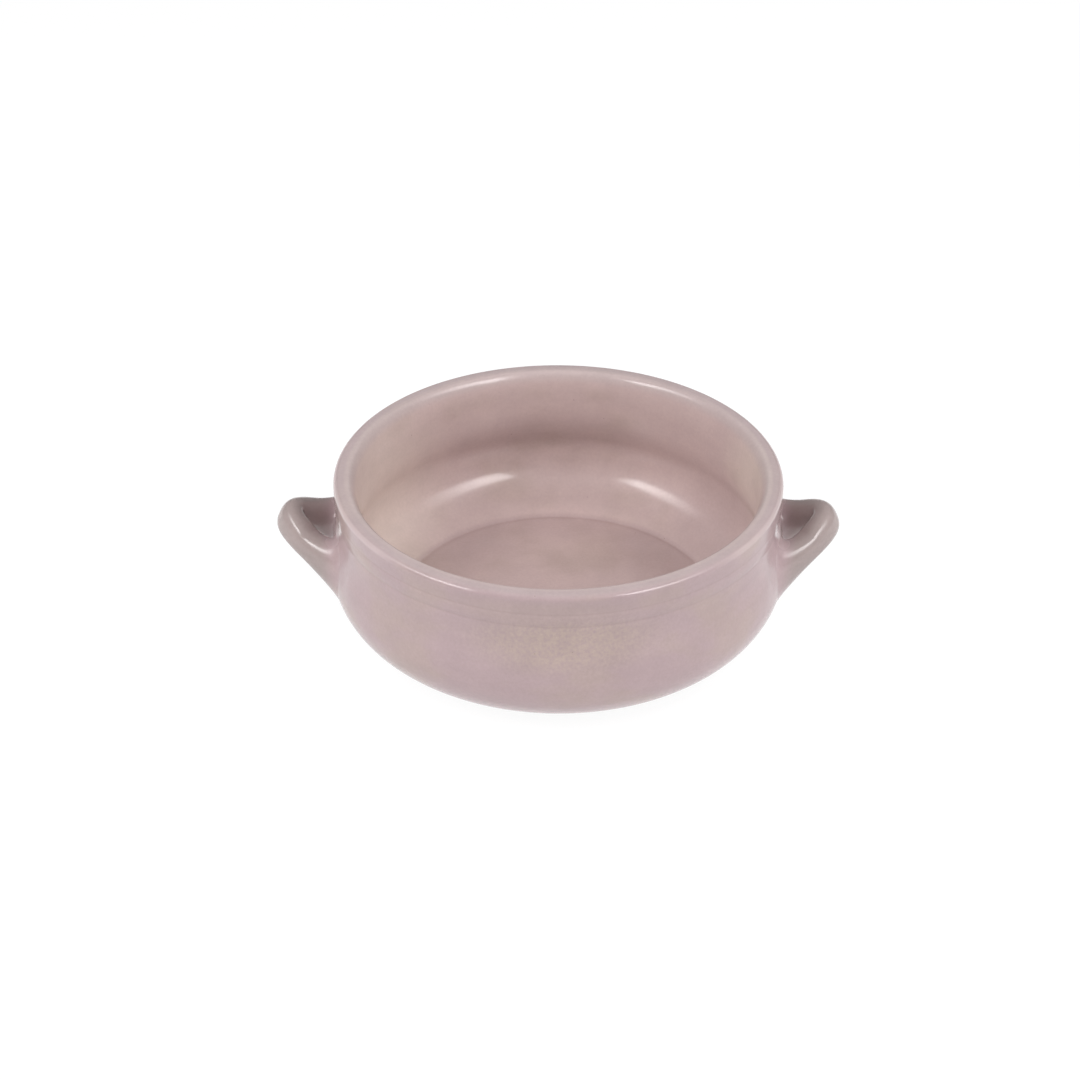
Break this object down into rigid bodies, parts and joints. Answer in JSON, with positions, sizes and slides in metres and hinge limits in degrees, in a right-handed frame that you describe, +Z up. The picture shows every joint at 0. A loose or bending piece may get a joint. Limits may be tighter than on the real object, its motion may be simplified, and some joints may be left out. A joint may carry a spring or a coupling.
{
  "type": "tapas dish",
  "caption": "Small round stoneware tapas dish with a flat-topped rim, rounded belly, turned foot ring and loop handles at its sides, glazed in dusty pink.",
  "frame": {"origin": "centre of the foot ring's resting plane, under the middle of the bowl", "axes": "+Z up along the bowl's axis of turning, +X through the right handle, -Y towards the viewer"},
  "size_m": [0.1516, 0.1228, 0.046],
  "materials": {
    "glaze": "glossy dusty pink glaze, softly mottled towards beige, with fine dark specks"
  },
  "bodies": {
    "root": {"dish_body": "glaze", "handle_left": "glaze", "handle_right": "glaze"}
  },
  "joints": []
}
